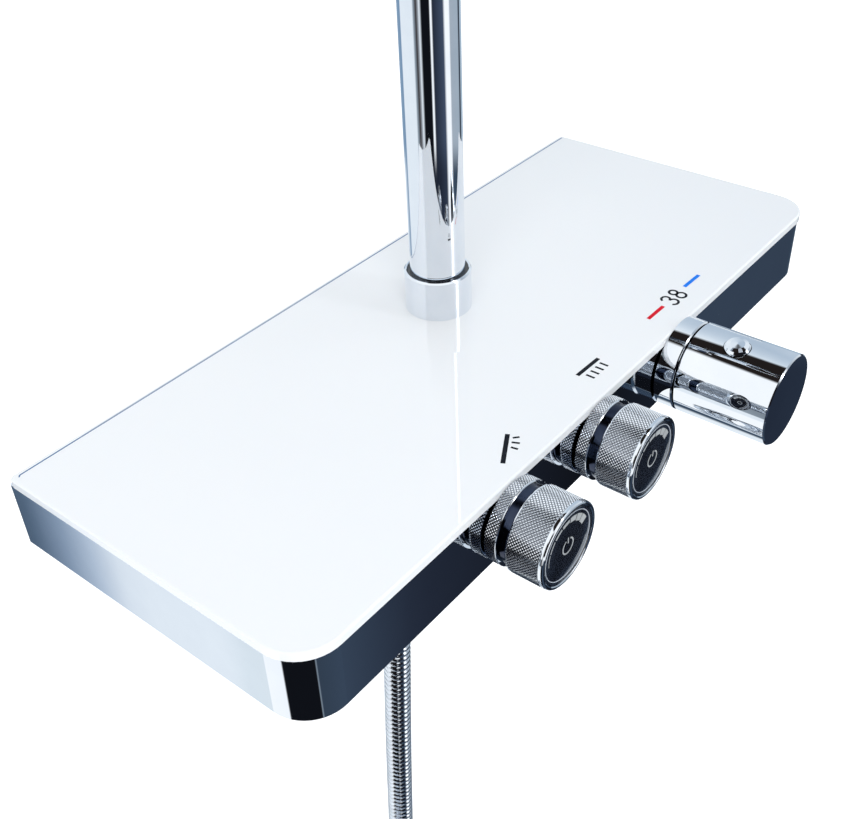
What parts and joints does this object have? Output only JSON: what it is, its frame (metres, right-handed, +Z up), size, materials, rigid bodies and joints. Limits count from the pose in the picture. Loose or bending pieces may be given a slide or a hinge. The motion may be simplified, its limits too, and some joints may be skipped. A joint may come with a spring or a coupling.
{
  "type": "rain shower set",
  "caption": "Wall-held thermostatic rain shower set: glass shelf mixer with push-and-turn knobs, riser with overhead shower, sliding hand-shower holder, hose and hand shower.",
  "frame": {"origin": "on the finished wall, midway between the two wall inlets and 3 mm above them, at the height of the valve axis", "axes": "+X right seen from the front, +Y into the wall, +Z up; the front faces -Y"},
  "size_m": [0.4276, 0.4728, 1.5408],
  "materials": {
    "chrome": "polished chrome plate",
    "white_glass": "toughened glass, backed white",
    "black_gloss": "glossy black",
    "black_plastic": "satin black",
    "rubber": "matt silicone",
    "brass": "machined brass",
    "steel": "plain steel",
    "white_plastic": "moulded plastic",
    "spray_grey": "satin grey plastic",
    "plated_plastic": "chrome-plated plastic",
    "metal_hose": "spiral metal sheath over a soft inner hose"
  },
  "bodies": {
    "base": {"front_shell": "chrome", "fascia_nuts": "chrome", "thermo_base": "chrome", "riser_collar": "chrome", "lower_riser": "chrome", "riser_coupling": "chrome", "upper_riser": "chrome", "bracket_arm": "chrome", "bracket_rosette": "chrome", "ball_nut": "chrome", "mixer_hose_nut": "chrome", "hose_cone_nut": "chrome", "glass_shelf": "white_glass", "stop_ring": "black_plastic", "hose_tie": "black_plastic", "bottom_cover": "black_plastic", "glass_gasket": "rubber", "riser_seals": "rubber", "hose_washer": "rubber", "valve_body": "brass", "end_plugs": "brass", "hot_union": "brass", "cold_union": "brass", "cover_screws": "steel", "wall_plate": "steel", "wall_screws": "steel", "bracket_screws": "steel", "union_nuts": "steel", "inlet_check_valves": "white_plastic", "hand_cartridge": "white_plastic", "rain_cartridge": "white_plastic", "thermo_cartridge": "white_plastic", "spray_face": "spray_grey", "hand_shower": "plated_plastic", "hose": "metal_hose", "hose_coil": "metal_hose", "hose_end": "metal_hose"},
    "hand_rotor": {"hand_sleeve": "chrome", "hand_groove_ring": "black_plastic", "hand_spring": "steel"},
    "hand_button": {"hand_cap": "chrome", "hand_face": "black_gloss", "hand_stem": "brass"},
    "rain_rotor": {"rain_sleeve": "chrome", "rain_groove_ring": "black_plastic", "rain_spring": "steel"},
    "rain_button": {"rain_cap": "chrome", "rain_face": "black_gloss", "rain_stem": "brass"},
    "thermostat_handle": {"thermo_handle": "chrome", "thermo_spindle": "brass", "safety_spring": "steel"},
    "safety_stop": {"safety_button": "chrome"},
    "overhead_shower": {"ball_stud": "chrome", "head_shell": "chrome", "spray_plate": "spray_grey", "rain_nozzles": "rubber"},
    "slider": {"slider_body": "chrome"},
    "slider_clamp": {"slider_knob": "chrome"},
    "holder": {"holder_cup": "plated_plastic"}
  },
  "joints": [
    {"name": "hand_turn", "type": "hinge", "parent": "base", "child": "hand_rotor", "pos_m": [-0.0788, -0.1564, 0], "axis": [0, 1, 0], "range_deg": [0, 150]},
    {"name": "hand_push", "type": "slide", "parent": "hand_rotor", "child": "hand_button", "axis": [0, 1, 0], "range_m": [0, 0.0025], "stiffness_N_per_m": 1200, "deforming": ["hand_spring"]},
    {"name": "rain_turn", "type": "hinge", "parent": "base", "child": "rain_rotor", "pos_m": [-0.0166, -0.1564, 0], "axis": [0, 1, 0], "range_deg": [0, 150]},
    {"name": "rain_push", "type": "slide", "parent": "rain_rotor", "child": "rain_button", "axis": [0, 1, 0], "range_m": [0, 0.0025], "stiffness_N_per_m": 1200, "deforming": ["rain_spring"]},
    {"name": "temperature_turn", "type": "hinge", "parent": "base", "child": "thermostat_handle", "pos_m": [0.0509, -0.1564, 0], "axis": [0, 1, 0], "range_deg": [-60, 130]},
    {"name": "safety_push", "type": "slide", "parent": "thermostat_handle", "child": "safety_stop", "axis": [0.1908, 0, -0.9816], "range_m": [0, 0.0015], "stiffness_N_per_m": 1500, "deforming": ["safety_spring"]},
    {"name": "head_tilt", "type": "hinge", "parent": "base", "child": "overhead_shower", "pos_m": [0.0026, -0.33, 0.776], "axis": [1, 0, 0], "range_deg": [-12, 12]},
    {"name": "slider_slide", "type": "slide", "parent": "base", "child": "slider", "axis": [0, 0, 1], "range_m": [-0.25, 0.08]},
    {"name": "clamp_turn", "type": "hinge", "parent": "slider", "child": "slider_clamp", "pos_m": [-0.0104, -0.0588, 0.33], "axis": [-1, 0, 0], "range_deg": [-90, 90]},
    {"name": "holder_tilt", "type": "hinge", "parent": "slider", "child": "holder", "pos_m": [0.0026, -0.0921, 0.33], "axis": [0, 1, 0], "range_deg": [-45, 45]}
  ]
}
